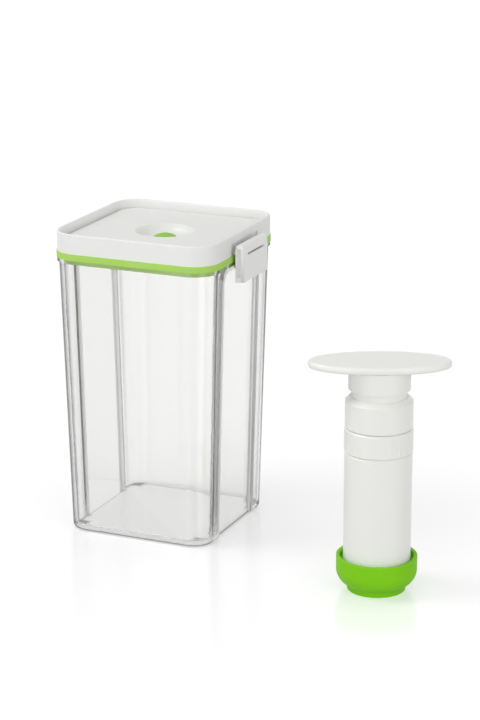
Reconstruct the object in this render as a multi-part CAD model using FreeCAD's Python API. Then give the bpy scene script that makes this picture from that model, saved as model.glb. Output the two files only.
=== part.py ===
import FreeCAD, Part
import math
import os

# Herb keeper: a clear square container with a snap-down lid, a vacuum release
# valve in the lid's dish, and the hand pump that stands beside it.
# Millimetres, +Z up. The origin is the middle of the container's underside.

# ---- lid, seen from above --------------------------------------------------
lid_side = 112.0            # outside of the lid's skirt
lid_corner_radius = 17.0    # every nested square keeps this corner's centre
skirt_wall = 2.0
rim_edge_radius = 0.8       # rounding along the top of the rim

# ---- heights, from the table up --------------------------------------------
foot_height = 0.5           # flat pad under the container
body_height = 182.0         # table to the underside of the flange
flange_thickness = 2.4
seal_height = 4.2           # green band between flange and lid
skirt_height = 12.9

# ---- container -------------------------------------------------------------
base_corner_radius = 14.0
body_step = 1.1             # body stands this far inside the lid
body_taper = 4.8            # each side, from the flange down to the floor
container_wall = 2.9
floor_thickness = 3.0
base_edge_radius = 2.5      # outside rounding of the bottom edge
floor_edge_radius = 2.0     # inside rounding of the floor
foot_inset = 5.0
flange_proud = 0.2          # flange stands out past the lid
neck_step = 1.8             # neck stands inside the body
grip_depth = 2.6            # hand recess in the two latch sides
grip_half_width = 26.5
grip_corner_radius = 7.0
grip_top_gap = 3.0          # recess stops this far under the flange
grip_edge_land = 0.2        # flat between the two roundings of the step

# ---- lid frame -------------------------------------------------------------
panel_recess = 5.5          # rim top down to the panel
shelf_thickness = 2.0       # ledge that carries the panel
plug_wall = 1.6             # wall that drops into the container's mouth
plug_depth = 8.0            # below the ledge
plug_clearance = 0.4
latch_notch_depth = 0.8     # hollow in the skirt behind each latch
latch_notch_margin = 0.7

# ---- lid panel and its dish ------------------------------------------------
panel_thickness = 2.4
panel_groove = 1.9          # open groove between panel and rim
panel_rib_wall = 1.6        # rib under the panel, snapped inside the ledge
panel_rib_depth = 4.6
panel_rib_clearance = 0.1
panel_edge_radius = 0.5
dish_radius = 18.9
dish_depth = 6.3
dish_floor_radius = 10.6
dish_wall = 2.2
dish_edge_radius = 0.7
dish_side_sag = 1.9         # hollow of the dish's curved side
vent_radius = 1.0
vent_circle_radius = 4.6
vent_count = 4

# ---- lid seal --------------------------------------------------------------
seal_proud = 0.4            # band stands out past the lid
seal_neck_gap = 0.3
seal_web = 0.2              # joins the band to the bed, over the neck
seal_channel_gap = 0.1

# ---- snap latches ----------------------------------------------------------
latch_width = 41.0
latch_back = 2.7            # gap between the skirt and the latch
latch_depth = 5.3           # back to outer face
latch_top_drop = 5.6        # lid top to the latch's top
latch_drop = 29.6           # lid top to the latch's lower edge
latch_face_wall = 2.2
latch_side_wall = 2.0
latch_roof = 1.1            # over the lugs' eyes
latch_lip = 2.2             # solid bar along the lower edge
latch_top_radius = 3.0
latch_edge_radius = 2.2
latch_back_bevel = 0.6
latch_knuckle_wall = 1.2    # under the pin, above the hollow back
latch_slit_length = 25.0
latch_slit_height = 1.2
latch_slit_drop = 12.1      # lid top to the slit
pivot_inset = 1.6           # hinge axis in from the latch's back
hinge_pin_radius = 0.7
hinge_pin_inset = 0.6       # pin's far end inside the latch's end
hinge_pin_cover = 2.0       # closed near end of the pin's bore
hinge_clearance = 0.06
lug_width = 6.0
lug_spacing = 26.0          # between the middles of the two lugs
lug_gap = 0.25              # beside each lug
lug_swing_gap = 0.3         # round each lug's eye
lug_eye_radius = 1.5
lug_seal_gap = 0.2          # lug's leg above the green band
lug_leg_thickness = 1.5
lug_arm_front = 0.8         # arm on each side of the hinge axis
lug_arm_back = 1.0
hook_width = 30.0
hook_thickness = 2.8
hook_reach = 0.9            # under the flange
hook_gap = 0.25             # below the flange

# ---- release valve ---------------------------------------------------------
knob_height = 4.4
knob_wall = 1.2             # round the knob's socket for the seal
knob_lift_gap = 0.5         # knob's skirt above the dish floor
knob_side_height = 2.0      # straight side under the crown
knob_crown_radius = 2.8     # flat middle of the crown
knob_crown_swell = 0.5      # how far the crown's side bows out
knob_scallops = 8
knob_scallop_radius = 1.3
knob_scallop_depth = 0.9
valve_travel = 2.0
valve_seal_lap = 0.9        # seal beyond the vent holes
valve_seal_thickness = 1.0
stem_radius = 2.0
stem_head_radius = 5.0
stem_head_thickness = 1.4
stem_clearance = 0.06
knob_socket_clearance = 0.05
spring_wire_radius = 0.3
spring_stem_gap = 1.0       # inside the coil
spring_shut_length = 2.7    # coils closed up when the valve is fully lifted
spring_turns = 4
spring_gap = 0.1
clip_thickness = 1.4
clip_lip = 1.0              # clip beyond the coil
stem_tail = 0.8             # stem below its clip

# ---- pump, from the table up, in its own axis ------------------------------
pump_x = 173.0
pump_y = -65.0
pump_turn = 24.0            # handle's long side, degrees from +X
cup_foot_inset = 0.9        # foot inside the edge of the lid's dish
cup_foot_height = 4.3
cup_foot_wall = 3.6
cup_height = 21.8
cup_curve_height = 14.2     # where the cup's side becomes straight
cup_waist_inset = 0.7       # flat underside's edge inside the barrel's wall
cup_curve_swell = 1.5       # how far the curved side bows out
cup_rim_wall = 2.1
cup_rim_depth = 3.0         # open groove between rim and barrel
cup_rim_gap = 2.1           # width of that groove
cup_floor_height = 6.0      # where the barrel stands
barrel_radius = 20.8
barrel_wall = 3.0
barrel_floor = 3.0
barrel_spare = 9.2          # barrel above the drawn piston
barrel_fit = 0.05
barrel_neck_wall = 1.6
barrel_neck_gap = 0.75      # under the ring's lip
ring_height = 15.0
ring_proud = 0.3
ring_gap = 0.15             # each side of the turning ring
ring_bore_clearance = 0.1
ring_lip_height = 3.4
groove_chamfer = 0.9        # V grooves above and below the ring
grip_pad_count = 4
grip_pad_angle = 74.0       # raised part of the ring, each
grip_pad_turn = 19.0        # from the front round to the first pad's end
grip_pad_depth = 0.5
grip_pad_border = 1.6
upper_height = 19.6         # upper barrel, ring to shoulder
upper_wall = 2.4
shoulder_chamfer = 2.8
shoulder_flat = 1.4         # flat ring between the bevel and the neck
neck_rise = 5.0             # neck that shows under the handle's collar
neck_inside = 4.0           # neck inside the collar
neck_vent_radius = 1.0
neck_vent_circle = 11.0
neck_vent_count = 3
spigot_length = 11.6
spigot_clearance = 0.1
rod_radius = 4.0
rod_clearance = 0.05
bush_radius = 7.0
bush_flange_radius = 9.0
bush_flange_thickness = 1.2
upper_ceiling = 5.0         # solid top under the neck
collar_height = 13.0
collar_wall = 2.1
collar_neck_gap = 0.3
collar_stop_width = 1.6     # ledge that comes down on the neck
collar_roof = 3.0
collar_boss_radius = 7.5
plate_length = 87.1
plate_depth = 40.0
plate_thickness = 4.6
plate_edge_radius = 2.0
screw_radius = 1.5
screw_head_radius = 3.0
screw_head_thickness = 1.6
screw_length = 14.0
screw_cap_radius = 4.0
screw_cap_thickness = 1.0
stroke = 58.0
piston_height = 10.0
piston_rest_gap = 3.0       # piston above the barrel's floor
piston_clearance = 0.35
piston_seal_section = 1.4
piston_seal_squeeze = 0.05
valve_disc_radius = 6.0
valve_disc_thickness = 0.8
valve_disc_stalk = 1.4
valve_stalk_tail = 0.6      # stalk under the barrel's floor
valve_port_radius = 0.9
valve_port_circle = 3.6
valve_port_count = 6
barrel_seal_section = 0.8
barrel_seal_squeeze = 0.02
barrel_seal_rise = 3.0      # spigot's end up to the middle of its seal
seal_groove_gap = 0.1       # round each seal in its groove

# ---- worked out from the sizes above ---------------------------------------
lid_half = lid_side / 2
flange_top = body_height + flange_thickness
skirt_bottom = flange_top + seal_height
lid_top = skirt_bottom + skirt_height
panel_top = lid_top - panel_recess
panel_bottom = panel_top - panel_thickness
shelf_bottom = panel_bottom - shelf_thickness
body_top_half = lid_half - body_step
base_half = body_top_half - body_taper
neck_half = body_top_half - neck_step
neck_top = skirt_bottom - seal_web
mouth_half = body_top_half - container_wall
grip_edge_radius = (grip_depth - grip_edge_land) / 2
plug_half = mouth_half - plug_clearance
floor_top = foot_height + floor_thickness
dish_floor = panel_top - dish_depth
dish_underside = dish_floor - dish_wall
latch_back_x = lid_half + latch_back
latch_face_x = latch_back_x + latch_depth
latch_inner_x = latch_face_x - latch_face_wall
latch_top = lid_top - latch_top_drop
latch_bottom = lid_top - latch_drop
lug_room = lug_eye_radius + lug_swing_gap
pivot_x = latch_back_x + pivot_inset
pivot_z = latch_top - latch_roof - lug_room
valve_seal_radius = vent_circle_radius + vent_radius + valve_seal_lap
knob_radius = valve_seal_radius + knob_socket_clearance + knob_wall
spring_radius = stem_radius + spring_stem_gap + spring_wire_radius
clip_radius = spring_radius + spring_wire_radius + clip_lip

cup_foot_radius = dish_radius - cup_foot_inset
cup_barrel_top = cup_height - cup_rim_depth
cup_radius = barrel_radius + cup_rim_gap + cup_rim_wall
neck_radius = barrel_radius - shoulder_chamfer - shoulder_flat
collar_radius = neck_radius + collar_neck_gap + collar_wall
bore_radius = barrel_radius - barrel_wall
bore_floor = cup_floor_height + barrel_floor
piston_bottom = bore_floor + piston_rest_gap
piston_top = piston_bottom + piston_height
barrel_top = piston_top + stroke + barrel_spare
ring_bottom = barrel_top + ring_gap
ring_top = ring_bottom + ring_height
upper_bottom = ring_top + ring_gap
upper_top = upper_bottom + upper_height
collar_bottom = upper_top + neck_rise
neck_end = collar_bottom + neck_inside
plate_bottom = collar_bottom + collar_height
pump_top = plate_bottom + plate_thickness
screw_top = pump_top - screw_cap_thickness
spigot_radius = bore_radius - spigot_clearance
piston_radius = bore_radius - piston_clearance
spring_length = valve_travel + spring_shut_length
piston_seal_outside = bore_radius - piston_seal_squeeze
piston_seal_height = piston_bottom + piston_height / 2
barrel_seal_outside = bore_radius - barrel_seal_squeeze
barrel_seal_height = upper_bottom - spigot_length + barrel_seal_rise

up = FreeCAD.Vector(0, 0, 1)
across = FreeCAD.Vector(0, 1, 0)
middle = FreeCAD.Vector(0, 0, 0)


def corner(half):
    """Corner radius of a square nested in the lid, with the lid's corner centres."""
    return lid_corner_radius - (lid_half - half)


def body_half(z):
    """Half the outside width of the tapered body at a height."""
    rise = (z - foot_height) / (body_height - foot_height)
    return base_half + body_taper * rise


def body_corner(z):
    """Corner radius of the tapered body at a height."""
    rise = (z - foot_height) / (body_height - foot_height)
    return base_corner_radius + (corner(body_top_half) - base_corner_radius) * rise


def square_wire(half, radius, z):
    """Square with rounded corners, centred on the Z axis."""
    flat = half - radius
    edges = []
    for turn in range(4):
        place = FreeCAD.Placement(middle, FreeCAD.Rotation(up, 90 * turn))
        start = FreeCAD.Vector(half, -flat, z)
        end = FreeCAD.Vector(half, flat, z)
        bulge = flat + radius * math.cos(math.radians(45))
        through = FreeCAD.Vector(bulge, bulge, z)
        after = FreeCAD.Vector(flat, half, z)
        for edge in (Part.makeLine(start, end), Part.Arc(end, through, after).toShape()):
            edges.append(edge.transformGeometry(place.toMatrix()))
    return Part.Wire(Part.__sortEdges__(edges))


def square_block(half, radius, bottom, top):
    """Upright block with rounded corners."""
    return Part.Face(square_wire(half, radius, bottom)).extrude(up * (top - bottom))


def square_tube(outside, inside, bottom, top):
    """Upright tube between two squares nested in the lid."""
    outer = square_block(outside, corner(outside), bottom, top)
    return outer.cut(square_block(inside, corner(inside), bottom, top))


def turned(points):
    """Solid of revolution about Z from radius and height pairs."""
    wire = Part.makePolygon([FreeCAD.Vector(r, 0, z) for r, z in points + points[:1]])
    return Part.Face(wire).revolve(middle, up, 360)


def turned_edges(edges):
    """Solid of revolution about Z from edges drawn in the XZ plane."""
    return Part.Face(Part.Wire(Part.__sortEdges__(edges))).revolve(middle, up, 360)


def disc(radius, bottom, top):
    """Upright cylinder on the Z axis."""
    return Part.makeCylinder(radius, top - bottom, up * bottom)


def pipe(outside, inside, bottom, top):
    """Upright round tube on the Z axis."""
    return disc(outside, bottom, top).cut(disc(inside, bottom, top))


def side_block(points, half_width):
    """Outline in the XZ plane made as deep as a width along Y."""
    wire = Part.makePolygon([FreeCAD.Vector(x, -half_width, z) for x, z in points + points[:1]])
    return Part.Face(wire).extrude(across * 2 * half_width)


def box(x0, x1, y0, y1, z0, z1):
    """Block between two corners."""
    return Part.makeBox(x1 - x0, y1 - y0, z1 - z0, FreeCAD.Vector(x0, y0, z0))


def round_copies(shape, count, start=0.0):
    """Copies of a shape spaced evenly round the Z axis, as one compound."""
    copies = []
    for step in range(count):
        copy = shape.copy()
        copy.rotate(middle, up, start + 360.0 * step / count)
        copies.append(copy)
    return Part.makeCompound(copies)


def o_ring(outside, section, height):
    """Round-section ring of an outside radius, with its middle at a height."""
    ring = Part.makeTorus(outside - section, section)
    ring.translate(up * height)
    return ring


def o_ring_groove(mouth, outside, section, height):
    """Square groove for that ring, open at the mouth radius."""
    floor_radius = outside - 2 * section - seal_groove_gap
    reach = section + seal_groove_gap
    return pipe(mouth, floor_radius, height - reach, height + reach)


def mirrored(shape):
    """The same piece on the container's -X side."""
    return shape.mirror(middle, FreeCAD.Vector(1, 0, 0))


def outer_edges(shape, z):
    """Edges of a shape that lie flat at one height."""
    flat = []
    for edge in shape.Edges:
        bounds = edge.BoundBox
        if abs(bounds.ZMin - z) < 0.01 and abs(bounds.ZMax - z) < 0.01:
            flat.append(edge)
    return flat


# ---- container -------------------------------------------------------------
def grip_recess(grow):
    """Hand recess on the +X side, or the same form grown inwards by a wall."""
    bottom = -body_height
    top = body_height - grip_top_gap + grow
    depth = grip_depth + grow
    width = grip_half_width + grow
    beyond = lid_side
    slope = side_block(
        [
            (body_half(bottom) - depth, bottom),
            (body_half(top) - depth, top),
            (beyond, top),
            (beyond, bottom),
        ],
        width,
    )
    window = box(0, beyond, -width, width, bottom, top)
    rounded = []
    for edge in window.Edges:
        bounds = edge.BoundBox
        if bounds.XLength > 1 and abs(bounds.ZMin - top) < 0.01:
            rounded.append(edge)
    window = window.makeFillet(grip_corner_radius + grow, rounded)
    return slope.common(window)


def container():
    shell = Part.makeLoft(
        [
            square_wire(body_half(foot_height), body_corner(foot_height), foot_height),
            square_wire(body_half(body_height), body_corner(body_height), body_height),
        ],
        True,
        True,
    )
    rounded = shell.makeFillet(base_edge_radius, outer_edges(shell, foot_height))
    recess = grip_recess(0)
    shell = shell.cut(recess).cut(mirrored(recess))
    steps = []
    for edge in shell.Edges:
        bounds = edge.BoundBox
        upright = bounds.ZLength > body_height / 2
        beside = abs(abs(bounds.Center.y) - grip_half_width) < 0.5
        if upright and beside and abs(bounds.Center.x) > body_half(0) - grip_depth / 2:
            steps.append(edge)
    shell = shell.makeFillet(grip_edge_radius, steps).common(rounded)

    foot_half = base_half - foot_inset
    foot = square_block(foot_half, base_corner_radius, 0, foot_height + floor_thickness / 2)
    flange_half = lid_half + flange_proud
    flange = square_block(flange_half, corner(flange_half), body_height, flange_top)
    neck = square_block(neck_half, corner(neck_half), flange_top, neck_top)
    solid = shell.fuse([foot, flange, neck])

    cavity = Part.makeLoft(
        [
            square_wire(body_half(z) - container_wall, body_corner(z) - container_wall, z)
            for z in (floor_top, body_height)
        ],
        True,
        True,
    )
    cavity = cavity.makeFillet(floor_edge_radius, outer_edges(cavity, floor_top))
    wall = grip_recess(container_wall)
    cavity = cavity.cut(wall).cut(mirrored(wall))
    mouth = square_block(mouth_half, corner(mouth_half), body_height, neck_top)
    return solid.cut(cavity).cut(mouth).removeSplitter()


# ---- lid -------------------------------------------------------------------
def hinge_lug(y):
    """Gooseneck lug on the skirt: a leg out under the latch's roof, an arm up to the pin."""
    half = lug_width / 2
    foot_x = lid_half - skirt_wall + latch_notch_depth / 2
    front_x = pivot_x + lug_arm_front
    leg_bottom = skirt_bottom + lug_seal_gap
    leg = box(foot_x, front_x, y - half, y + half, leg_bottom, leg_bottom + lug_leg_thickness)
    arm = box(pivot_x - lug_arm_back, front_x, y - half, y + half, leg_bottom, pivot_z)
    start = FreeCAD.Vector(pivot_x, y - half, pivot_z)
    eye = Part.makeCylinder(lug_eye_radius, lug_width, start, across)
    bore = Part.makeCylinder(hinge_pin_radius, lug_width, start, across)
    return eye.fuse([leg, arm]).cut(bore)


def latch_notch():
    """Hollow in the skirt behind the latch."""
    half = latch_width / 2 + latch_notch_margin
    floor_x = lid_half - latch_notch_depth
    return box(floor_x, lid_side, -half, half, skirt_bottom, latch_top + latch_notch_margin)


def lid_frame():
    inner = lid_half - skirt_wall
    skirt = square_tube(lid_half, inner, skirt_bottom, lid_top)
    skirt = skirt.makeFillet(rim_edge_radius, outer_edges(skirt, lid_top))
    ledge_half = plug_half - plug_wall
    ledge = square_tube(lid_half - skirt_wall / 2, ledge_half, shelf_bottom, panel_bottom)
    plug = square_tube(plug_half, ledge_half, shelf_bottom - plug_depth, shelf_bottom)
    frame = skirt.fuse([ledge, plug])
    notch = latch_notch()
    frame = frame.cut(notch).cut(mirrored(notch))
    for y in (-lug_spacing / 2, lug_spacing / 2):
        lug = hinge_lug(y)
        frame = frame.fuse([lug, mirrored(lug)])
    return frame.removeSplitter()


def dish_arc(low_radius, low_z, high_radius, high_z):
    """Curved side of the dish, from its floor out to its edge."""
    low = FreeCAD.Vector(low_radius, 0, low_z)
    high = FreeCAD.Vector(high_radius, 0, high_z)
    chord = high - low
    outward = FreeCAD.Vector(chord.z, 0, -chord.x).normalize()
    return Part.Arc(low, (low + high) * 0.5 + outward * dish_side_sag, high).toShape()


def dish_form(grow):
    """Bowl of the dish, or the same bowl thickened by a wall."""
    low_z = dish_floor - grow
    high_z = panel_top if grow == 0 else panel_bottom
    low_radius = dish_floor_radius + grow / 2
    high_radius = dish_radius + grow / 2
    low = FreeCAD.Vector(low_radius, 0, low_z)
    high = FreeCAD.Vector(high_radius, 0, high_z)
    low_middle = FreeCAD.Vector(0, 0, low_z)
    high_middle = FreeCAD.Vector(0, 0, high_z)
    return turned_edges(
        [
            Part.makeLine(low_middle, low),
            dish_arc(low_radius, low_z, high_radius, high_z),
            Part.makeLine(high, high_middle),
            Part.makeLine(high_middle, low_middle),
        ]
    )


def lid_panel():
    half = lid_half - skirt_wall - panel_groove
    slab = square_block(half, corner(half), panel_bottom, panel_top)
    slab = slab.makeFillet(panel_edge_radius, outer_edges(slab, panel_top))
    rib_half = plug_half - plug_wall - panel_rib_clearance
    rib = square_tube(rib_half, rib_half - panel_rib_wall, panel_bottom - panel_rib_depth, panel_bottom)
    panel = slab.fuse([rib, dish_form(dish_wall)]).cut(dish_form(0))
    rim = []
    for edge in outer_edges(panel, panel_top):
        if abs(edge.BoundBox.XMax - dish_radius) < 0.01:
            rim.append(edge)
    panel = panel.makeFillet(dish_edge_radius, rim)
    panel = panel.cut(disc(stem_radius + stem_clearance, dish_underside, dish_floor))
    vent = disc(vent_radius, dish_underside, dish_floor)
    vent.translate(FreeCAD.Vector(vent_circle_radius, 0, 0))
    return panel.cut(round_copies(vent, vent_count, 45)).removeSplitter()


def lid_seal():
    """Silicone ring: band that shows, and the bed that the container's rim bears on."""
    band = square_tube(lid_half + seal_proud, neck_half + seal_neck_gap, flange_top, skirt_bottom)
    bed_outside = lid_half - skirt_wall - seal_channel_gap
    bed_inside = plug_half + seal_channel_gap
    bed = square_tube(bed_outside, bed_inside, neck_top, shelf_bottom)
    return band.fuse(bed).removeSplitter()


# ---- latches ---------------------------------------------------------------
def latch_outline():
    """Side of the latch: flat face, rounded top and a small bevel at the back."""
    start = -latch_width / 2

    def at(x, z):
        return FreeCAD.Vector(latch_back_x + x, start, latch_bottom + z)

    height = latch_top - latch_bottom
    flat_x = latch_depth - latch_top_radius
    flat_z = height - latch_top_radius
    lean = latch_top_radius * math.cos(math.radians(45))
    edges = [
        Part.makeLine(at(latch_depth, 0), at(latch_depth, flat_z)),
        Part.Arc(
            at(latch_depth, flat_z), at(flat_x + lean, flat_z + lean), at(flat_x, height)
        ).toShape(),
        Part.makeLine(at(flat_x, height), at(latch_back_bevel, height)),
        Part.makeLine(at(latch_back_bevel, height), at(0, height - latch_back_bevel)),
        Part.makeLine(at(0, height - latch_back_bevel), at(0, 0)),
        Part.makeLine(at(0, 0), at(latch_depth, 0)),
    ]
    return Part.Wire(Part.__sortEdges__(edges))


def latch():
    half = latch_width / 2
    solid = Part.Face(latch_outline()).extrude(across * latch_width)
    rounded = []
    for edge in solid.Edges:
        bounds = edge.BoundBox
        at_end = bounds.YLength < 0.01 and abs(abs(bounds.YMin) - half) < 0.01
        if at_end and bounds.XMin > latch_face_x - latch_top_radius - 0.01:
            rounded.append(edge)
    solid = solid.makeFillet(latch_edge_radius, rounded)

    inside = half - latch_side_wall
    hollow_bottom = latch_bottom + latch_lip
    hollow_top = pivot_z - hinge_pin_radius - latch_knuckle_wall
    hollow = box(lid_half, latch_inner_x, -inside, inside, hollow_bottom, hollow_top)
    slit_half = latch_slit_length / 2
    slit_bottom = lid_top - latch_slit_drop - latch_slit_height / 2
    slit_top = slit_bottom + latch_slit_height
    slit = box(lid_half, latch_face_x, -slit_half, slit_half, slit_bottom, slit_top)
    solid = solid.cut(hollow).cut(slit)

    hook_root = latch_inner_x + latch_face_wall / 2
    hook_top = body_height - hook_gap
    nose_x = lid_half + flange_proud - hook_reach
    hook = side_block(
        [
            (hook_root, hook_top),
            (nose_x, hook_top),
            (nose_x, hook_top - hook_thickness / 2),
            (nose_x + hook_thickness / 2, hook_top - hook_thickness),
            (hook_root, hook_top - hook_thickness),
        ],
        hook_width / 2,
    )
    solid = solid.fuse(hook)

    for y in (-lug_spacing / 2, lug_spacing / 2):
        side = lug_width / 2 + lug_gap
        room_x = pivot_x + lug_room
        room = box(lid_half, room_x, y - side, y + side, hollow_top, pivot_z + lug_room)
        solid = solid.cut(room)
    bore = Part.makeCylinder(
        hinge_pin_radius + hinge_clearance,
        latch_width,
        FreeCAD.Vector(pivot_x, hinge_pin_cover - half, pivot_z),
        across,
    )
    return solid.cut(bore).removeSplitter()


def latch_pin():
    start = FreeCAD.Vector(pivot_x, hinge_pin_cover - latch_width / 2, pivot_z)
    length = latch_width - hinge_pin_cover - hinge_pin_inset
    return Part.makeCylinder(hinge_pin_radius, length, start, across)


# ---- release valve ---------------------------------------------------------
stem_head_bottom = dish_floor + valve_seal_thickness
stem_head_top = stem_head_bottom + stem_head_thickness
spring_top = dish_underside - spring_gap
clip_top = spring_top - spring_length - spring_gap
clip_bottom = clip_top - clip_thickness


def valve_knob():
    """Soft mushroom knob, scalloped for the finger tips, snapped over the stem's head."""
    bottom = dish_floor + knob_lift_gap
    top = dish_floor + knob_height
    shoulder = bottom + knob_side_height
    side = FreeCAD.Vector(knob_radius, 0, bottom)
    side_top = FreeCAD.Vector(knob_radius, 0, shoulder)
    crown_edge = FreeCAD.Vector(knob_crown_radius, 0, top)
    slope = crown_edge - side_top
    outward = FreeCAD.Vector(slope.z, 0, -slope.x).normalize()
    over = (side_top + crown_edge) * 0.5 + outward * knob_crown_swell
    low_middle = FreeCAD.Vector(0, 0, bottom)
    high_middle = FreeCAD.Vector(0, 0, top)
    knob = turned_edges(
        [
            Part.makeLine(low_middle, side),
            Part.makeLine(side, side_top),
            Part.Arc(side_top, over, crown_edge).toShape(),
            Part.makeLine(crown_edge, high_middle),
            Part.makeLine(high_middle, low_middle),
        ]
    )
    scallop = disc(knob_scallop_radius, shoulder, top)
    scallop_circle = knob_radius + knob_scallop_radius - knob_scallop_depth
    scallop.translate(FreeCAD.Vector(scallop_circle, 0, 0))
    knob = knob.cut(round_copies(scallop, knob_scallops))
    head_room = disc(
        stem_head_radius + knob_socket_clearance,
        stem_head_bottom,
        stem_head_top + knob_socket_clearance,
    )
    seal_room = disc(valve_seal_radius + knob_socket_clearance, bottom, stem_head_bottom)
    return knob.cut(head_room).cut(seal_room)


def valve_stem():
    head = disc(stem_head_radius, stem_head_bottom, stem_head_top)
    shaft = disc(stem_radius, clip_bottom - stem_tail, stem_head_bottom)
    return head.fuse(shaft).removeSplitter()


def valve_seal():
    return pipe(valve_seal_radius, stem_radius + stem_clearance, dish_floor, stem_head_bottom)


def valve_spring():
    """Coil round the stem that draws the valve shut."""
    pitch = (spring_length - 2 * spring_wire_radius) / spring_turns
    path = Part.makeHelix(pitch, pitch * spring_turns, spring_radius)
    start = FreeCAD.Vector(spring_radius, 0, 0)
    section = Part.Wire(Part.makeCircle(spring_wire_radius, start, across))
    coil = Part.Wire(path).makePipeShell([section], True, True)
    coil.translate(up * (spring_top - spring_length + spring_wire_radius))
    return coil


def valve_clip():
    return pipe(clip_radius, stem_radius, clip_bottom, clip_top)


# ---- pump ------------------------------------------------------------------
def valve_disc(seat_z):
    """Silicone umbrella flap that lies on a seat, with its stalk through the seat."""
    flap = disc(valve_disc_radius, seat_z, seat_z + valve_disc_thickness)
    stalk = disc(valve_disc_stalk, seat_z - barrel_floor - valve_stalk_tail, seat_z)
    return flap.fuse(stalk).removeSplitter()


def valve_ports(seat_z, depth):
    """Air holes under an umbrella flap, and the hole for its stalk."""
    port = disc(valve_port_radius, seat_z - depth, seat_z)
    port.translate(FreeCAD.Vector(valve_port_circle, 0, 0))
    stalk = disc(valve_disc_stalk, seat_z - depth, seat_z)
    return [round_copies(port, valve_port_count), stalk]


def pump_cup():
    """Silicone cup with the foot ring that seals on the lid's dish."""
    foot_top = FreeCAD.Vector(cup_foot_radius, 0, cup_foot_height)
    waist = FreeCAD.Vector(barrel_radius - cup_waist_inset, 0, cup_foot_height)
    side = FreeCAD.Vector(cup_radius, 0, cup_curve_height)
    slope = side - waist
    outward = FreeCAD.Vector(slope.z, 0, -slope.x).normalize()
    sweep = (waist + side) * 0.5 + outward * cup_curve_swell
    rim = FreeCAD.Vector(cup_radius, 0, cup_height)
    high_middle = FreeCAD.Vector(0, 0, cup_height)
    foot_edge = FreeCAD.Vector(cup_foot_radius, 0, 0)
    body = turned_edges(
        [
            Part.makeLine(middle, foot_edge),
            Part.makeLine(foot_edge, foot_top),
            Part.makeLine(foot_top, waist),
            Part.Arc(waist, sweep, side).toShape(),
            Part.makeLine(side, rim),
            Part.makeLine(rim, high_middle),
            Part.makeLine(high_middle, middle),
        ]
    )
    body = body.cut(disc(cup_foot_radius - cup_foot_wall, 0, cup_floor_height))
    body = body.cut(disc(barrel_radius + barrel_fit, cup_floor_height, cup_barrel_top))
    return body.cut(disc(cup_radius - cup_rim_wall, cup_barrel_top, cup_height))


def pump_barrel():
    """Lower barrel: cylinder for the piston, floor with ports, neck inside the ring."""
    neck_outside = bore_radius + barrel_neck_wall
    tube_end = ring_top - ring_lip_height - barrel_neck_gap
    barrel = turned(
        [
            (0, cup_floor_height),
            (barrel_radius, cup_floor_height),
            (barrel_radius, barrel_top - groove_chamfer),
            (barrel_radius - groove_chamfer, barrel_top),
            (neck_outside, barrel_top),
            (neck_outside, tube_end),
            (bore_radius, tube_end),
            (bore_radius, bore_floor),
            (0, bore_floor),
        ]
    )
    for hole in valve_ports(bore_floor, barrel_floor):
        barrel = barrel.cut(hole)
    return barrel


def pump_ring():
    """Locking ring between the two barrels, with raised grip pads."""
    outside = barrel_radius + ring_proud
    bore = bore_radius + barrel_neck_wall + ring_bore_clearance
    lip_bore = spigot_radius + ring_bore_clearance
    lip_bottom = ring_top - ring_lip_height
    ring = turned(
        [
            (bore, ring_bottom),
            (outside - groove_chamfer, ring_bottom),
            (outside, ring_bottom + groove_chamfer),
            (outside, ring_top - groove_chamfer),
            (outside - groove_chamfer, ring_top),
            (lip_bore, ring_top),
            (lip_bore, lip_bottom),
            (bore, lip_bottom),
        ]
    )
    window_bottom = ring_bottom + grip_pad_border
    window_top = ring_top - grip_pad_border
    window_angle = 360.0 / grip_pad_count - grip_pad_angle
    band = pipe(2 * outside, outside - grip_pad_depth, window_bottom, window_top)
    height = window_top - window_bottom
    wedge = Part.makeCylinder(2 * outside, height, up * window_bottom, up, window_angle)
    sector = band.common(wedge)
    first = grip_pad_turn - 90
    ring = ring.cut(round_copies(sector, grip_pad_count, first))
    return ring


def pump_upper_barrel():
    """Upper barrel with the shoulder, the neck and a spigot down into the lower barrel."""
    cavity_radius = spigot_radius - upper_wall
    spigot_bottom = upper_bottom - spigot_length
    ceiling = upper_top - upper_ceiling
    upper = turned(
        [
            (cavity_radius, spigot_bottom),
            (spigot_radius, spigot_bottom),
            (spigot_radius, upper_bottom),
            (barrel_radius - groove_chamfer, upper_bottom),
            (barrel_radius, upper_bottom + groove_chamfer),
            (barrel_radius, upper_top - shoulder_chamfer),
            (barrel_radius - shoulder_chamfer, upper_top),
            (neck_radius, upper_top),
            (neck_radius, neck_end),
            (bush_radius, neck_end),
            (bush_radius, ceiling),
            (cavity_radius, ceiling),
        ]
    )
    groove = o_ring_groove(spigot_radius, barrel_seal_outside, barrel_seal_section, barrel_seal_height)
    vent = disc(neck_vent_radius, ceiling, neck_end)
    vent.translate(FreeCAD.Vector(neck_vent_circle, 0, 0))
    return upper.cut(groove).cut(round_copies(vent, neck_vent_count))


def barrel_seal():
    return o_ring(barrel_seal_outside, barrel_seal_section, barrel_seal_height)


def rod_bush():
    """Bearing in the neck that the rod slides through."""
    ceiling = upper_top - upper_ceiling
    sleeve = pipe(bush_radius, rod_radius + rod_clearance, ceiling, neck_end)
    collar = pipe(bush_flange_radius, rod_radius + rod_clearance, ceiling - bush_flange_thickness, ceiling)
    return sleeve.fuse(collar).removeSplitter()


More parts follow.
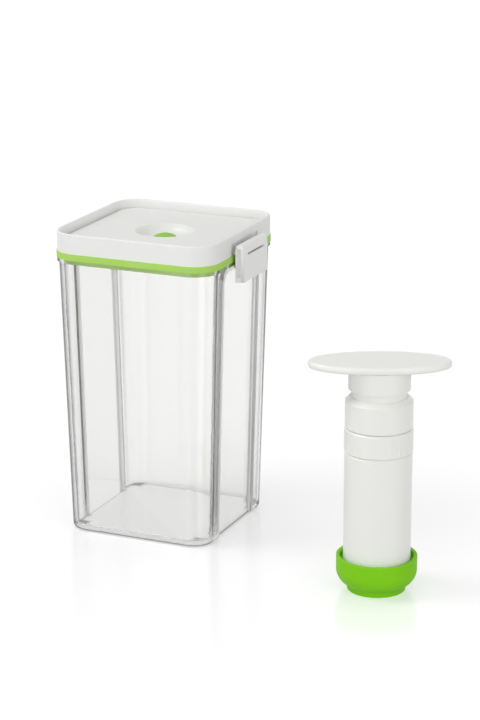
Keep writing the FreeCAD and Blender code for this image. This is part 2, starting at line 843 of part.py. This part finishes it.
def handle_collar():
    """Round cap under the handle that comes down on the neck."""
    outer = disc(collar_radius, collar_bottom, plate_bottom)
    neck_room = disc(neck_radius + collar_neck_gap, collar_bottom, neck_end)
    stop_inside = neck_radius - collar_stop_width
    hollow = pipe(stop_inside, collar_boss_radius, neck_end, plate_bottom - collar_roof)
    rod_hole = disc(rod_radius, neck_end, plate_bottom)
    return outer.cut(neck_room).cut(hollow).cut(rod_hole)


def handle_plate():
    """Oval plate that the fingers pull, with full-round edges."""
    ellipse = Part.Ellipse(middle, plate_length / 2, plate_depth / 2)
    outline = Part.Wire(ellipse.toShape())
    plate = Part.Face(outline).extrude(up * plate_thickness)
    ends = outer_edges(plate, 0) + outer_edges(plate, plate_thickness)
    plate = plate.makeFillet(plate_edge_radius, ends)
    plate.translate(up * plate_bottom)
    head_room = disc(screw_head_radius, screw_top - screw_head_thickness, screw_top)
    cap_room = disc(screw_cap_radius, screw_top, pump_top)
    screw_room = disc(screw_radius, plate_bottom, screw_top)
    return plate.cut(cap_room).cut(head_room).cut(screw_room)


def handle_screw():
    head_bottom = screw_top - screw_head_thickness
    head = disc(screw_head_radius, head_bottom, screw_top)
    shank = disc(screw_radius, screw_top - screw_length, head_bottom)
    return head.fuse(shank).removeSplitter()


def handle_screw_cap():
    """Plug that hides the screw, flush with the plate."""
    return disc(screw_cap_radius, screw_top, pump_top)


def pump_rod():
    rod = disc(rod_radius, piston_bottom + piston_height / 2, plate_bottom)
    return rod.cut(disc(screw_radius, screw_top - screw_length, plate_bottom))


def piston():
    """Piston with a groove for its seal and ports under the outlet flap."""
    block = disc(piston_radius, piston_bottom, piston_top)
    socket = disc(rod_radius, piston_bottom + piston_height / 2, piston_top)
    groove = o_ring_groove(piston_radius, piston_seal_outside, piston_seal_section, piston_seal_height)
    port = disc(valve_port_radius, piston_bottom, piston_top)
    port.translate(FreeCAD.Vector((rod_radius + piston_radius) / 2 - piston_seal_section, 0, 0))
    return block.cut(socket).cut(groove).cut(round_copies(port, valve_port_count))


def piston_seal():
    return o_ring(piston_seal_outside, piston_seal_section, piston_seal_height)


def outlet_valve():
    """Silicone flap ring on the piston's top that lets the drawn air past."""
    reach = (rod_radius + piston_radius) / 2 - piston_seal_section + 2 * valve_port_radius
    return pipe(reach, rod_radius, piston_top, piston_top + valve_disc_thickness)


def on_pump(shape):
    """Turn a pump piece to the handle's direction and stand it in its place."""
    shape.rotate(middle, up, pump_turn)
    shape.translate(FreeCAD.Vector(pump_x, pump_y, 0))
    return shape


nodes = {
    "container": container(),
    "lid_frame": lid_frame(),
    "lid_panel": lid_panel(),
    "lid_seal": lid_seal(),
    "latch_right": latch(),
    "latch_left": mirrored(latch()),
    "latch_pin_right": latch_pin(),
    "latch_pin_left": mirrored(latch_pin()),
    "valve_knob": valve_knob(),
    "valve_stem": valve_stem(),
    "valve_seal": valve_seal(),
    "valve_spring": valve_spring(),
    "valve_clip": valve_clip(),
    "pump_cup": on_pump(pump_cup()),
    "pump_barrel": on_pump(pump_barrel()),
    "pump_inlet_valve": on_pump(valve_disc(bore_floor)),
    "pump_ring": on_pump(pump_ring()),
    "pump_upper_barrel": on_pump(pump_upper_barrel()),
    "pump_barrel_seal": on_pump(barrel_seal()),
    "pump_rod_bush": on_pump(rod_bush()),
    "pump_collar": on_pump(handle_collar()),
    "pump_handle": on_pump(handle_plate()),
    "pump_handle_screw": on_pump(handle_screw()),
    "pump_handle_cap": on_pump(handle_screw_cap()),
    "pump_rod": on_pump(pump_rod()),
    "pump_piston": on_pump(piston()),
    "pump_piston_seal": on_pump(piston_seal()),
    "pump_outlet_valve": on_pump(outlet_valve()),
}

os.makedirs("parts", exist_ok=True)
for name, shape in nodes.items():
    shape.exportStep("parts/" + name + ".step")
    print(name, len(shape.Solids), "solid", shape.isValid(), round(shape.Volume, 1), "mm3")
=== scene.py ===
from math import atan2, pi, radians

import bmesh
import bpy
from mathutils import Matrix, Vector


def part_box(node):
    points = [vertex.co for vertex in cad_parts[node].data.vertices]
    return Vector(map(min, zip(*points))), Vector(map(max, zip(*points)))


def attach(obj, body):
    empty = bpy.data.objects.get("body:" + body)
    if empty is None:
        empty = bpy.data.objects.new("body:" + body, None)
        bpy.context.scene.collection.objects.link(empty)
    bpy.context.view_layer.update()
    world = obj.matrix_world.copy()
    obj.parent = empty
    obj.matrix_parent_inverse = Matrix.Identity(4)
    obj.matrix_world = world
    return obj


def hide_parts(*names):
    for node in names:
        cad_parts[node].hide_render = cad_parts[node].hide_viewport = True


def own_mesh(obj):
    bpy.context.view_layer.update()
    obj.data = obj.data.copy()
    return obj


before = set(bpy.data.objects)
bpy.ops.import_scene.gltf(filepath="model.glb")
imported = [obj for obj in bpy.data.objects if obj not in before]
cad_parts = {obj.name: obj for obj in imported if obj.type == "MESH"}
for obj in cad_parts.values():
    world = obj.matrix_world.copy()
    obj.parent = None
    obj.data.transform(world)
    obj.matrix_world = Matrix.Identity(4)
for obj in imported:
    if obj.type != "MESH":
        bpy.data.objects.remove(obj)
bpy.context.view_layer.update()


# ---- Container ---------------------------------------------------------------
# The square body is injection moulded in one shot of clear SAN, a hard, glassy
# styrene plastic. It leaves the polished mould finished, so nothing is fixed to it.
# Where the clear body gets painted shade: its upright corners and its bottom edge, as
# they turn from the eye.
CORNER_START = 0.036  # from the middle, along both sides
CORNER_BLEND = 0.003
BASE_EDGE_TOP = 0.0026
BASE_EDGE_FULL = 0.0014
SHADE_TURN_START = 0.27  # how far the wall has turned from the eye, of 1
SHADE_TURN_FULL = 0.75
STEP_MIDDLE = 0.0265
STEP_REACH = 0.0019
STEP_CORE = 0.0013
RECESS_SIDE_START = 0.042
RECESS_SIDE_FULL = 0.044
STEP_HAZE = 0.65
CLARITY = 0.96


def colour(code):
    """Linear colour of an sRGB hex value."""
    parts = [int(code[place : place + 2], 16) / 255 for place in (1, 3, 5)]
    return [
        part / 12.92 if part <= 0.04045 else ((part + 0.055) / 1.055) ** 2.4
        for part in parts
    ] + [1.0]


def add_node(tree, kind, values=None, links=None, **settings):
    """Add a node with its settings, its sockets' values and what feeds its sockets."""
    made = tree.nodes.new("ShaderNode" + kind)
    for name, value in settings.items():
        setattr(made, name, value)
    for socket, value in (values or {}).items():
        made.inputs[socket].default_value = value
    for socket, source in (links or {}).items():
        tree.links.new(source, made.inputs[socket])
    return made


def new_material(name):
    """An empty material, with its node tree and its output node."""
    material = bpy.data.materials.new(name)
    material.use_nodes = True
    tree = material.node_tree
    tree.nodes.clear()
    return material, tree, add_node(tree, "OutputMaterial")


def per_mm(size):
    """Noise scale, in metres, for a grain of a size in millimetres."""
    return 1000 / size


def moulded_san():
    """Clear styrene straight from a polished mould: glassy, with a faint slow swell
    where the melt shrank, so reflections waver a little along the tall walls. It is
    nearly neutral. Round the upright corners and the bottom edge, where the wall turns
    from the eye, its colour is painted near black: painted shade for the dark that the
    long, bending way through them gives. The recesses' steps are hazed."""
    material, tree, output = new_material("clear moulded SAN, painted dark edges")
    place = add_node(tree, "TexCoord")
    spot = add_node(tree, "SeparateXYZ", {}, {0: place.outputs["Object"]})
    side_x = add_node(tree, "Math", {}, {0: spot.outputs["X"]}, operation="ABSOLUTE")
    side_y = add_node(tree, "Math", {}, {0: spot.outputs["Y"]}, operation="ABSOLUTE")
    nearer = add_node(
        tree,
        "Math",
        {},
        {0: side_x.outputs["Value"], 1: side_y.outputs["Value"]},
        operation="MINIMUM",
    )
    corner = add_node(
        tree,
        "MapRange",
        {"From Min": CORNER_START, "From Max": CORNER_START + CORNER_BLEND},
        {"Value": nearer.outputs["Value"]},
    )
    painted_shade_base_edge = add_node(
        tree,
        "MapRange",
        {"From Min": BASE_EDGE_TOP, "From Max": BASE_EDGE_FULL},
        {"Value": spot.outputs["Z"]},
    )
    painted_shade_zone = add_node(
        tree,
        "Math",
        {},
        {0: corner.outputs["Result"], 1: painted_shade_base_edge.outputs["Result"]},
        operation="MAXIMUM",
    )
    facing = add_node(tree, "LayerWeight", {"Blend": 0.5})
    turned = add_node(
        tree,
        "MapRange",
        {"From Min": SHADE_TURN_START, "From Max": SHADE_TURN_FULL},
        {"Value": facing.outputs["Facing"]},
        interpolation_type="SMOOTHSTEP",
    )
    # Painted shade: the corners and bottom edge darken as they turn from the eye.
    edge = add_node(
        tree,
        "Math",
        {},
        {0: turned.outputs["Result"], 1: painted_shade_zone.outputs["Value"]},
        operation="MULTIPLY",
    )
    # The body's colour, painted near black where the painted shade falls; its
    # reflections take the same painted shade.
    tone = add_node(
        tree,
        "Mix",
        {"A": colour("#FCFCFB"), "B": colour("#060608")},
        {"Factor": edge.outputs["Value"]},
        data_type="RGBA",
    )
    from_step = add_node(
        tree,
        "Math",
        {1: STEP_MIDDLE},
        {0: side_y.outputs["Value"]},
        operation="SUBTRACT",
    )
    off_step = add_node(
        tree, "Math", {}, {0: from_step.outputs["Value"]}, operation="ABSOLUTE"
    )
    on_step = add_node(
        tree,
        "MapRange",
        {"From Min": STEP_REACH, "From Max": STEP_CORE, "To Max": STEP_HAZE},
        {"Value": off_step.outputs["Value"]},
    )
    on_side = add_node(
        tree,
        "MapRange",
        {"From Min": RECESS_SIDE_START, "From Max": RECESS_SIDE_FULL},
        {"Value": side_x.outputs["Value"]},
    )
    haze = add_node(
        tree,
        "Math",
        {},
        {0: on_step.outputs["Result"], 1: on_side.outputs["Result"]},
        operation="MULTIPLY",
    )
    clear = add_node(
        tree, "Math", {0: CLARITY}, {1: haze.outputs["Value"]}, operation="SUBTRACT"
    )
    swell = add_node(
        tree,
        "TexNoise",
        {"Scale": per_mm(30), "Detail": 1.0},
        {"Vector": place.outputs["Object"]},
    )
    gloss = add_node(
        tree,
        "MapRange",
        {"To Min": 0.01, "To Max": 0.06},
        {"Value": swell.outputs["Fac"]},
    )
    bump = add_node(
        tree,
        "Bump",
        {"Strength": 0.08, "Distance": 0.001},
        {"Height": swell.outputs["Fac"]},
    )
    surface = add_node(
        tree,
        "BsdfPrincipled",
        {"IOR": 1.57},
        {
            "Base Color": tone.outputs["Result"],
            "Specular Tint": tone.outputs["Result"],
            "Transmission Weight": clear.outputs["Value"],
            "Roughness": gloss.outputs["Result"],
            "Normal": bump.outputs["Normal"],
        },
    )
    tint = add_node(
        tree, "VolumeAbsorption", {"Color": colour("#A2A2A6"), "Density": 12.0}
    )
    tree.links.new(surface.outputs["BSDF"], output.inputs["Surface"])
    tree.links.new(tint.outputs["Volume"], output.inputs["Volume"])
    return material


def finish_node(name, material):
    """Give a CAD node its finish."""
    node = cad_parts[name]
    node.data.materials.clear()
    node.data.materials.append(material)


finish_node("container", moulded_san())


# ---- Lid frame and panel -----------------------------------------------------
# Skirt with a raised rim, and the panel with the dish that snaps in below it. Both
# are white ABS from a finely spark-eroded mould, which leaves an even satin grain.
ABS_GRAIN = 0.7  # mm, coarser than the real 0.1 mm so that it shows
ABS_GRAIN_DEPTH = 0.03  # mm


def moulded_plastic(name, dark, light, grain, depth, roughness, cloud=40):
    """Opaque moulded plastic: a fine mould grain, and a slow drift in tone and gloss
    where the melt cooled sooner. Grain, depth and cloud are in millimetres."""
    material, tree, output = new_material(name)
    place = add_node(tree, "TexCoord")
    drift = add_node(
        tree,
        "TexNoise",
        {"Scale": per_mm(cloud), "Detail": 2.0},
        {"Vector": place.outputs["Object"]},
    )
    tone = add_node(
        tree,
        "Mix",
        {"A": colour(dark), "B": colour(light)},
        {"Factor": drift.outputs["Fac"]},
        data_type="RGBA",
    )
    pits = add_node(
        tree,
        "TexNoise",
        {"Scale": per_mm(grain), "Detail": 3.0, "Roughness": 0.6},
        {"Vector": place.outputs["Object"]},
    )
    gloss = add_node(
        tree,
        "MapRange",
        {"To Min": roughness - 0.05, "To Max": roughness + 0.05},
        {"Value": drift.outputs["Fac"]},
    )
    bump = add_node(
        tree,
        "Bump",
        {"Strength": 0.3, "Distance": depth / 1000},
        {"Height": pits.outputs["Fac"]},
    )
    surface = add_node(
        tree,
        "BsdfPrincipled",
        {"IOR": 1.53},
        {
            "Base Color": tone.outputs["Result"],
            "Roughness": gloss.outputs["Result"],
            "Normal": bump.outputs["Normal"],
        },
    )
    tree.links.new(surface.outputs["BSDF"], output.inputs["Surface"])
    return material


# ABS without a brightener is a slightly warm white, with a soft broad sheen.
lid_white = moulded_plastic(
    "satin white ABS", "#EFEFED", "#F4F4F2", ABS_GRAIN, ABS_GRAIN_DEPTH, 0.36
)
finish_node("lid_frame", lid_white)
finish_node("lid_panel", lid_white)


# ---- Lid seal ----------------------------------------------------------------
# Band of lime silicone between the lid and the container's flange. It is moulded in
# a bead-blasted mould, pressed into a channel under the lid, and stays slightly soft.
SILICONE_SKIN = 1.1  # mm, coarser than the blasted 0.2 mm so that it shows
SILICONE_SKIN_DEPTH = 0.06  # mm
SKIRT_LOW = 0.1812
SKIRT_HIGH = 0.1883
SKIRT_HALF = 0.0519
SKIRT_WALL = 0.0002
SKIRT_CORNER = 0.013
MERGE_REACH = 0.000002
LEVEL = 0.9  # upward share of its normal past which a face counts as level


def moulded_silicone(name, dark, light, roughness, glow):
    """Silicone rubber: dull and even, with the skin of a blasted mould, and a little
    light carried through its thin edges."""
    material, tree, output = new_material(name)
    place = add_node(tree, "TexCoord")
    drift = add_node(
        tree,
        "TexNoise",
        {"Scale": per_mm(18), "Detail": 2.0},
        {"Vector": place.outputs["Object"]},
    )
    tone = add_node(
        tree,
        "Mix",
        {"A": colour(dark), "B": colour(light)},
        {"Factor": drift.outputs["Fac"]},
        data_type="RGBA",
    )
    skin = add_node(
        tree,
        "TexNoise",
        {"Scale": per_mm(SILICONE_SKIN), "Detail": 4.0, "Roughness": 0.55},
        {"Vector": place.outputs["Object"]},
    )
    gloss = add_node(
        tree,
        "MapRange",
        {"To Min": roughness - 0.06, "To Max": roughness + 0.06},
        {"Value": skin.outputs["Fac"]},
    )
    bump = add_node(
        tree,
        "Bump",
        {"Strength": 0.3, "Distance": SILICONE_SKIN_DEPTH / 1000},
        {"Height": skin.outputs["Fac"]},
    )
    surface = add_node(
        tree,
        "BsdfPrincipled",
        {
            "IOR": 1.43,
            "Specular IOR Level": 0.35,
            "Subsurface Weight": glow,
            "Subsurface Radius": (0.4, 1.0, 0.15),
            "Subsurface Scale": 0.002,
        },
        {
            "Base Color": tone.outputs["Result"],
            "Roughness": gloss.outputs["Result"],
            "Normal": bump.outputs["Normal"],
        },
    )
    tree.links.new(surface.outputs["BSDF"], output.inputs["Surface"])
    return material


def pick(kind, test):
    """Select only those vertices, edges or faces of the open mesh that pass a test."""
    bpy.ops.mesh.select_all(action="DESELECT")
    kinds = ("verts", "edges", "faces")
    bpy.context.tool_settings.mesh_select_mode = [kind == each for each in kinds]
    form = bmesh.from_edit_mesh(bpy.context.object.data)
    for part in getattr(form, kind):
        part.select_set(test(part))
    form.select_flush_mode()
    bmesh.update_edit_mesh(bpy.context.object.data)


def finish_piece(name, body, material, smooth):
    """Close the open piece: name it, seat its place in its mesh and give it its finish.
    Edges that turn by less than the smooth angle, in degrees, are shaded soft."""
    bpy.ops.mesh.select_all(action="SELECT")
    bpy.ops.mesh.remove_doubles(threshold=MERGE_REACH)
    bpy.ops.mesh.normals_make_consistent(inside=False)
    bpy.ops.object.mode_set(mode="OBJECT")
    piece = bpy.context.object
    piece.name = name
    bpy.ops.object.transform_apply(location=True, rotation=True, scale=True)
    for modifier in list(piece.modifiers):
        bpy.ops.object.modifier_apply(modifier=modifier.name)
    bpy.ops.object.shade_smooth_by_angle(angle=radians(smooth))
    piece.data.materials.append(material)
    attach(piece, body)
    return piece


# Where it is thick, the silicone is a soft yellowish green that glows at its edges.
lime = moulded_silicone("lime silicone", "#AEDB62", "#B7E36E", 0.5, 0.15)
finish_node("lid_seal", lime)

# The seal's thin skirt lines the lid's plug inside the container's mouth, where it
# shows through the clear flange. The flange greys it, so its lime is painted brighter
# and stronger than the seal's own: painted light.
lime_painted_brighter = moulded_silicone("lime silicone, painted brighter", "#B6F04C", "#C0F65A", 0.5, 0.15)
bpy.ops.object.select_all(action="DESELECT")
bpy.ops.mesh.primitive_cube_add(
    size=2 * SKIRT_HALF, location=(0, 0, SKIRT_LOW + SKIRT_HALF)
)
bpy.ops.object.mode_set(mode="EDIT")
pick("edges", lambda edge: abs((edge.verts[0].co - edge.verts[1].co).z) > SKIRT_HALF)
bpy.ops.mesh.bevel(offset=SKIRT_CORNER, segments=12, affect="EDGES")
pick("verts", lambda vertex: vertex.co.z > 0)
bpy.ops.transform.translate(value=(0, 0, SKIRT_HIGH - SKIRT_LOW - 2 * SKIRT_HALF))
pick("faces", lambda face: abs(face.normal.z) > LEVEL)
bpy.ops.mesh.inset(thickness=SKIRT_WALL)
bpy.ops.mesh.bridge_edge_loops()
finish_piece("seal_skirt", "lid", lime_painted_brighter, 40)


# ---- Latches -----------------------------------------------------------------
# Two snap flaps of the same white ABS, each on a drawn stainless wire that is driven
# through two gooseneck lugs on the lid's skirt. A shallow channel cores out each end
# of a flap, so that its wall doesn't sink, and a slit crosses its face.
CHANNEL_NEAR = 0.0016  # behind the outer face
CHANNEL_FAR = 0.0042
CHANNEL_DEPTH = 0.0017
CHANNEL_LOW = 0.0034  # above the lower edge
CHANNEL_HIGH = 0.0022  # below the upper edge
SLIT_LENGTH = 0.0256
SLIT_HEIGHT = 0.0015
SLIT_DROP = 0.0065
SLIT_DEPTH = 0.0026
CLEAR_OF_FACE = 0.001  # how far a core stands out of the face that it cuts


def open_copy(node, name):
    """A merged copy of a CAD node, ready for carving."""
    bpy.ops.object.select_all(action="DESELECT")
    piece = bpy.data.objects.new(name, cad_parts[node].data.copy())
    bpy.context.scene.collection.objects.link(piece)
    piece.data.materials.clear()
    bpy.context.view_layer.objects.active = piece
    piece.select_set(True)
    bpy.ops.object.mode_set(mode="EDIT")
    bpy.ops.mesh.select_all(action="SELECT")
    bpy.ops.mesh.remove_doubles(threshold=MERGE_REACH)
    bpy.ops.object.mode_set(mode="OBJECT")
    return piece


def carve(piece, blocks):
    """Cut blocks out of a piece and leave it open. Each is a lowest and a highest
    corner."""
    for low, high in blocks:
        bpy.ops.object.select_all(action="DESELECT")
        low, high = Vector(low), Vector(high)
        bpy.ops.mesh.primitive_cube_add(size=1, location=(low + high) / 2)
        core = bpy.context.object
        core.scale = high - low
        cut = piece.modifiers.new("cut", "BOOLEAN")
        cut.operation = "DIFFERENCE"
        cut.solver = "EXACT"
        cut.object = core
        bpy.context.view_layer.objects.active = piece
        bpy.ops.object.modifier_apply(modifier=cut.name)
        bpy.data.objects.remove(core)
    piece.select_set(True)
    bpy.ops.object.mode_set(mode="EDIT")


def drawn_steel():
    """Stainless wire and screws: bright, with fine draw lines along the length. The
    lines are 0.3 mm apart, coarser than the real ones so that they show."""
    material, tree, output = new_material("drawn stainless steel")
    place = add_node(tree, "TexCoord")
    stretch = add_node(
        tree,
        "Mapping",
        {"Scale": (1.0, 0.05, 1.0)},
        {"Vector": place.outputs["Object"]},
    )
    lines = add_node(
        tree,
        "TexNoise",
        {"Scale": per_mm(0.3), "Detail": 2.0},
        {"Vector": stretch.outputs["Vector"]},
    )
    gloss = add_node(
        tree,
        "MapRange",
        {"To Min": 0.22, "To Max": 0.36},
        {"Value": lines.outputs["Fac"]},
    )
    tone = add_node(
        tree,
        "Mix",
        {"A": colour("#B4B4B2"), "B": colour("#C8C8C6")},
        {"Factor": lines.outputs["Fac"]},
        data_type="RGBA",
    )
    surface = add_node(
        tree,
        "BsdfPrincipled",
        {"Metallic": 1.0},
        {"Base Color": tone.outputs["Result"], "Roughness": gloss.outputs["Result"]},
    )
    tree.links.new(surface.outputs["BSDF"], output.inputs["Surface"])
    return material


steel = drawn_steel()
# The flaps' white is painted a shade lighter than the lid's, painted light that lifts
# their darker faces. They are also a shade glossier than the lid.
latch_white_painted_lighter = moulded_plastic(
    "satin white ABS, latch, painted lighter", "#F3F3F2", "#F8F8F6", ABS_GRAIN, ABS_GRAIN_DEPTH, 0.34
)
for side, way in (("right", 1), ("left", -1)):
    low, high = [Vector(corner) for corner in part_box("latch_" + side)]
    face = max(way * low.x, way * high.x)
    inner, outer = sorted((way * (face - CHANNEL_FAR), way * (face - CHANNEL_NEAR)))
    slit_inner, slit_outer = sorted(
        (way * (face - SLIT_DEPTH), way * (face + CLEAR_OF_FACE))
    )
    floor_z, roof_z = low.z + CHANNEL_LOW, high.z - CHANNEL_HIGH
    slit_top = high.z - SLIT_DROP + SLIT_HEIGHT / 2
    front_channel = (
        (inner, low.y - CLEAR_OF_FACE, floor_z),
        (outer, low.y + CHANNEL_DEPTH, roof_z),
    )
    back_channel = (
        (inner, high.y - CHANNEL_DEPTH, floor_z),
        (outer, high.y + CLEAR_OF_FACE, roof_z),
    )
    slit = (
        (slit_inner, -SLIT_LENGTH / 2, slit_top - SLIT_HEIGHT),
        (slit_outer, SLIT_LENGTH / 2, slit_top),
    )
    carve(
        open_copy("latch_" + side, "latch_flap_" + side),
        (front_channel, back_channel, slit),
    )
    flap = finish_piece(
        "latch_flap_" + side, "latch_" + side, latch_white_painted_lighter, 30
    )
    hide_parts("latch_" + side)
    finish_node("latch_pin_" + side, steel)


# ---- Release valve -----------------------------------------------------------
# A soft lime knob is snapped over the head of a plastic stem. Pinched and lifted, it
# draws the seal off the vents in the dish against a small coil spring under the lid.
KNOB_LOBES = 8
KNOB_SIDE = 0.4  # of the knob's height, below its crown
KNOB_CROWN = ((0.16, 0.30), (0.22, 0.36), (0.26, 0.24), (0.2, 0.1))  # inward, upward
KNOB_WAIST = 0.8  # width between two lobes, of the width over them
WAIST_HALF = 0.2  # of a lobe's share of the turn
WAIST_INNER = 0.5  # of the knob's radius
SPRING_WIRE = 0.0003  # the wire's radius
SPRING_TURNS = 4
SPRING_STEPS = 24  # in one turn

bpy.ops.object.select_all(action="DESELECT")
low, high = [Vector(corner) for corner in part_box("valve_knob")]
knob_radius = (high.x - low.x) / 2
side_top = low.z + KNOB_SIDE * (high.z - low.z)
bpy.ops.mesh.primitive_cylinder_add(
    vertices=4 * KNOB_LOBES,
    radius=knob_radius,
    depth=side_top - low.z,
    end_fill_type="NGON",
    location=(0, 0, (low.z + side_top) / 2),
)
bpy.ops.object.mode_set(mode="EDIT")
pick("faces", lambda face: face.normal.z > LEVEL)
for inward, upward in KNOB_CROWN:
    bpy.ops.mesh.inset(thickness=inward * knob_radius)
    bpy.ops.transform.translate(value=(0, 0, upward * (high.z - side_top)))


def in_waist(vertex):
    """Between two lobes, on the side of the knob or the first steps of its crown."""
    turn = atan2(vertex.co.y, vertex.co.x) / (2 * pi) * KNOB_LOBES % 1
    reach = vertex.co.xy.length / knob_radius
    return abs(turn - 0.5) < WAIST_HALF and reach > WAIST_INNER


pick("verts", in_waist)
bpy.ops.transform.resize(
    value=(KNOB_WAIST, KNOB_WAIST, 1), center_override=(0, 0, low.z)
)
knob_soften = bpy.context.object.modifiers.new("soften", "SUBSURF")
knob_soften.levels = knob_soften.render_levels = 2
# The knob is thick and solid, so little light comes through it and its lime is deeper.
deep_lime = moulded_silicone("deep lime silicone", "#94CB46", "#9DD352", 0.5, 0.15)
knob = finish_piece("release_knob", "valve", deep_lime, 80)
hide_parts("valve_knob")

# Acetal is a milky white with a waxy shine, and its grain is almost too fine to see.
acetal = moulded_plastic(
    "moulded acetal", "#E6E6E2", "#EDEDEA", 0.9, 0.01, 0.24, cloud=12
)
finish_node("valve_stem", acetal)
finish_node("valve_clip", acetal)
finish_node("valve_seal", lime)

# The spring is wound from stainless wire. It sits against the dish's underside.
bpy.ops.object.select_all(action="DESELECT")
low, high = [Vector(corner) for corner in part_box("valve_spring")]
bpy.ops.mesh.primitive_circle_add(
    vertices=10,
    radius=SPRING_WIRE,
    location=(high.x - SPRING_WIRE, 0, low.z + SPRING_WIRE),
    rotation=(pi / 2, 0, 0),
)
bpy.ops.object.transform_apply(location=True, rotation=True, scale=True)
winding = bpy.context.object.modifiers.new("winding", "SCREW")
winding.axis = "Z"
winding.iterations = SPRING_TURNS
winding.screw_offset = (high.z - low.z - 2 * SPRING_WIRE) / SPRING_TURNS
winding.steps = winding.render_steps = SPRING_STEPS
bpy.ops.object.modifier_apply(modifier=winding.name)
bpy.ops.object.mode_set(mode="EDIT")
bpy.ops.mesh.select_all(action="SELECT")
bpy.ops.mesh.fill_holes(sides=0)
spring = finish_piece("closing_spring", "lid", steel, 60)
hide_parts("valve_spring")
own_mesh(spring)


# ---- Pump cup ----------------------------------------------------------------
# Thick green silicone cup, stretched over the barrel's lower end. Its foot ring seals
# on the lid's dish, and its soft rim stands a little away from the barrel.
# The thick wall passes little light, so this is a full, even leaf green.
green = moulded_silicone("green silicone", "#7DCE00", "#89D90C", 0.55, 0.06)
finish_node("pump_cup", green)


# ---- Pump barrels, ring and handle -------------------------------------------
# Cylinder parts and handle in white ABS, a shade warmer than the lid. The locking
# ring turns between the barrels, and a screw under a plug holds the handle's plate.
pump_white = moulded_plastic(
    "satin white ABS, pump", "#F4F5F1", "#F8F8F4", ABS_GRAIN, ABS_GRAIN_DEPTH, 0.3
)
for name in (
    "pump_barrel",
    "pump_upper_barrel",
    "pump_ring",
    "pump_collar",
    "pump_handle",
    "pump_handle_cap",
):
    finish_node(name, pump_white)
finish_node("pump_handle_screw", steel)


# ---- Pump works --------------------------------------------------------------
# Rod, piston and bush are acetal, which slides dry. The O-rings and the two flap
# valves are the cup's green silicone, and all of them sit inside the barrels.
for name in ("pump_rod", "pump_piston", "pump_rod_bush"):
    finish_node(name, acetal)
for name in (
    "pump_inlet_valve",
    "pump_outlet_valve",
    "pump_piston_seal",
    "pump_barrel_seal",
):
    finish_node(name, green)


# ---- Floor, light and camera -------------------------------------------------
# Sheet of white acrylic with a gloss coat that carries on past the view, in a white
# room. A key lamp stands above on the left, and two wide ones in front and on the
# right. Sheet and room show a full white, but light the set at a plain level.
FLOOR_SIZE = 12.0
FLOOR_LIFT = 0.48
ROOM_LIGHT = 0.58
ROOM_SEEN_LEVEL = 1.0  # what a reflection or a clear piece shows near the floor
ROOM_SEEN_OVERHEAD = 0.3
CAMERA_PLACE = (0.65097, -1.37597, 0.55876)
CAMERA_DOWN = 16.49
CAMERA_ROUND = 23.49

bpy.ops.object.select_all(action="DESELECT")
bpy.ops.mesh.primitive_plane_add(size=FLOOR_SIZE, location=(0, 0, 0))
floor = bpy.context.object
floor.name = "studio_floor"


def seen_directly(tree):
    """1 for rays from the camera, a reflection or a clear piece, 0 for other light."""
    path = add_node(tree, "LightPath")
    seen = add_node(
        tree,
        "Math",
        {},
        {0: path.outputs["Is Camera Ray"], 1: path.outputs["Is Glossy Ray"]},
        operation="MAXIMUM",
    )
    seen = add_node(
        tree,
        "Math",
        {},
        {0: seen.outputs["Value"], 1: path.outputs["Is Transmission Ray"]},
        operation="MAXIMUM",
    )
    return seen.outputs["Value"]


# The acrylic mirrors what stands on it faintly, and softly, through its gloss coat.
sheet, tree, output = new_material("white acrylic sheet")
lift = add_node(
    tree, "Math", {1: FLOOR_LIFT}, {0: seen_directly(tree)}, operation="MULTIPLY"
)
surface = add_node(
    tree,
    "BsdfPrincipled",
    {
        "Base Color": colour("#D6D6D6"),
        "Roughness": 0.2,
        "Specular IOR Level": 0.9,
        "Coat Weight": 0.7,
        "Coat Roughness": 0.2,
        "Emission Color": colour("#FFFFFF"),
    },
    {"Emission Strength": lift.outputs["Value"]},
)
tree.links.new(surface.outputs["BSDF"], output.inputs["Surface"])
floor.data.materials.append(sheet)

world = bpy.data.worlds.new("studio")
bpy.context.scene.world = world
world.use_nodes = True
tree = world.node_tree
tree.nodes.clear()
output = add_node(tree, "OutputWorld")
fill = add_node(
    tree, "Background", {"Color": colour("#FFFFFF"), "Strength": ROOM_LIGHT}
)
way = add_node(tree, "TexCoord")
height = add_node(tree, "SeparateXYZ", {}, {0: way.outputs["Generated"]})
ceiling = add_node(
    tree,
    "MapRange",
    {
        "From Min": 0.1,
        "From Max": 0.6,
        "To Min": ROOM_SEEN_LEVEL,
        "To Max": ROOM_SEEN_OVERHEAD,
    },
    {"Value": height.outputs["Z"]},
)
white = add_node(
    tree,
    "Background",
    {"Color": colour("#FFFFFF")},
    {"Strength": ceiling.outputs["Result"]},
)
both = add_node(
    tree,
    "MixShader",
    {},
    {
        0: seen_directly(tree),
        1: fill.outputs["Background"],
        2: white.outputs["Background"],
    },
)
tree.links.new(both.outputs["Shader"], output.inputs["Surface"])


def softbox(name, place, aim, size, watts):
    """Square lamp that looks at a point."""
    lamp = bpy.data.lights.new(name, "AREA")
    lamp.size = size
    lamp.energy = watts
    stand = bpy.data.objects.new(name, lamp)
    bpy.context.scene.collection.objects.link(stand)
    stand.location = place
    look = Vector(aim) - Vector(place)
    stand.rotation_euler = look.to_track_quat("-Z", "Y").to_euler()


softbox("key", (-0.95, -0.5, 1.45), (0.05, 0.0, 0.15), 0.7, 9.0)
softbox("front", (-0.3, -2.1, 0.5), (0.08, 0.0, 0.1), 1.2, 8.5)
softbox("side", (1.75, -1.0, 0.7), (0.08, 0.0, 0.1), 1.2, 8.8)

lens = bpy.data.cameras.new("camera")
lens.lens = 120.8
lens.sensor_width = 36.0
camera = bpy.data.objects.new("camera", lens)
bpy.context.scene.collection.objects.link(camera)
camera.location = CAMERA_PLACE
camera.rotation_euler = (radians(90 - CAMERA_DOWN), 0, radians(CAMERA_ROUND))
bpy.context.scene.camera = camera

bpy.context.scene.view_settings.view_transform = "Standard"
